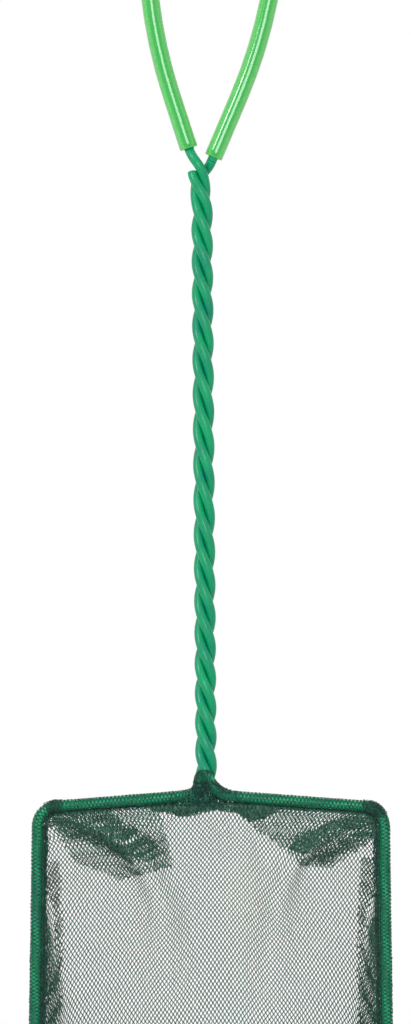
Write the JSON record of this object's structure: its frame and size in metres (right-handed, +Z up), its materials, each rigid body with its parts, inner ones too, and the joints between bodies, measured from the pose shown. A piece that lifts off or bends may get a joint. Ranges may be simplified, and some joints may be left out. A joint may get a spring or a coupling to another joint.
{
  "type": "aquarium fish net",
  "caption": "Hand net for aquariums: a coated wire bent into a rectangular hoop, a twisted handle and a sleeved hanging loop, with a deep knitted mesh bag.",
  "frame": {"origin": "on the sleeve's underside at the top of the hanging loop, where a hook carries the net", "axes": "+Z up along the hanging net, +X across the hoop, +Y through the hoop into the bag, so the mouth faces -Y"},
  "size_m": [0.1227, 0.068, 0.45],
  "materials": {
    "wire_coating": "glossy",
    "steel_core": "drawn",
    "sleeve": "glossy, slightly translucent",
    "net_mesh": "knitted open mesh",
    "sewing_thread": "twisted thread"
  },
  "bodies": {
    "root": {"loop_wire_coat": "wire_coating", "loop_wire_core": "steel_core", "loop_sleeve": "sleeve", "handle_strand_left_leg": "wire_coating", "handle_strand_right_leg": "wire_coating", "handle_strand_tail": "wire_coating", "handle_core_left_leg": "steel_core", "handle_core_right_leg": "steel_core", "handle_core_tail": "steel_core", "hoop_wire_coat": "wire_coating", "hoop_wire_core": "steel_core", "hoop_hem": "net_mesh", "neck_hem_left": "net_mesh", "neck_hem_right": "net_mesh", "neck_collar": "net_mesh", "neck_thread": "sewing_thread", "hem_stitches": "sewing_thread", "bag_upper_panel": "net_mesh", "bag_lower_panel": "net_mesh", "bag_seam": "net_mesh"}
  },
  "joints": []
}
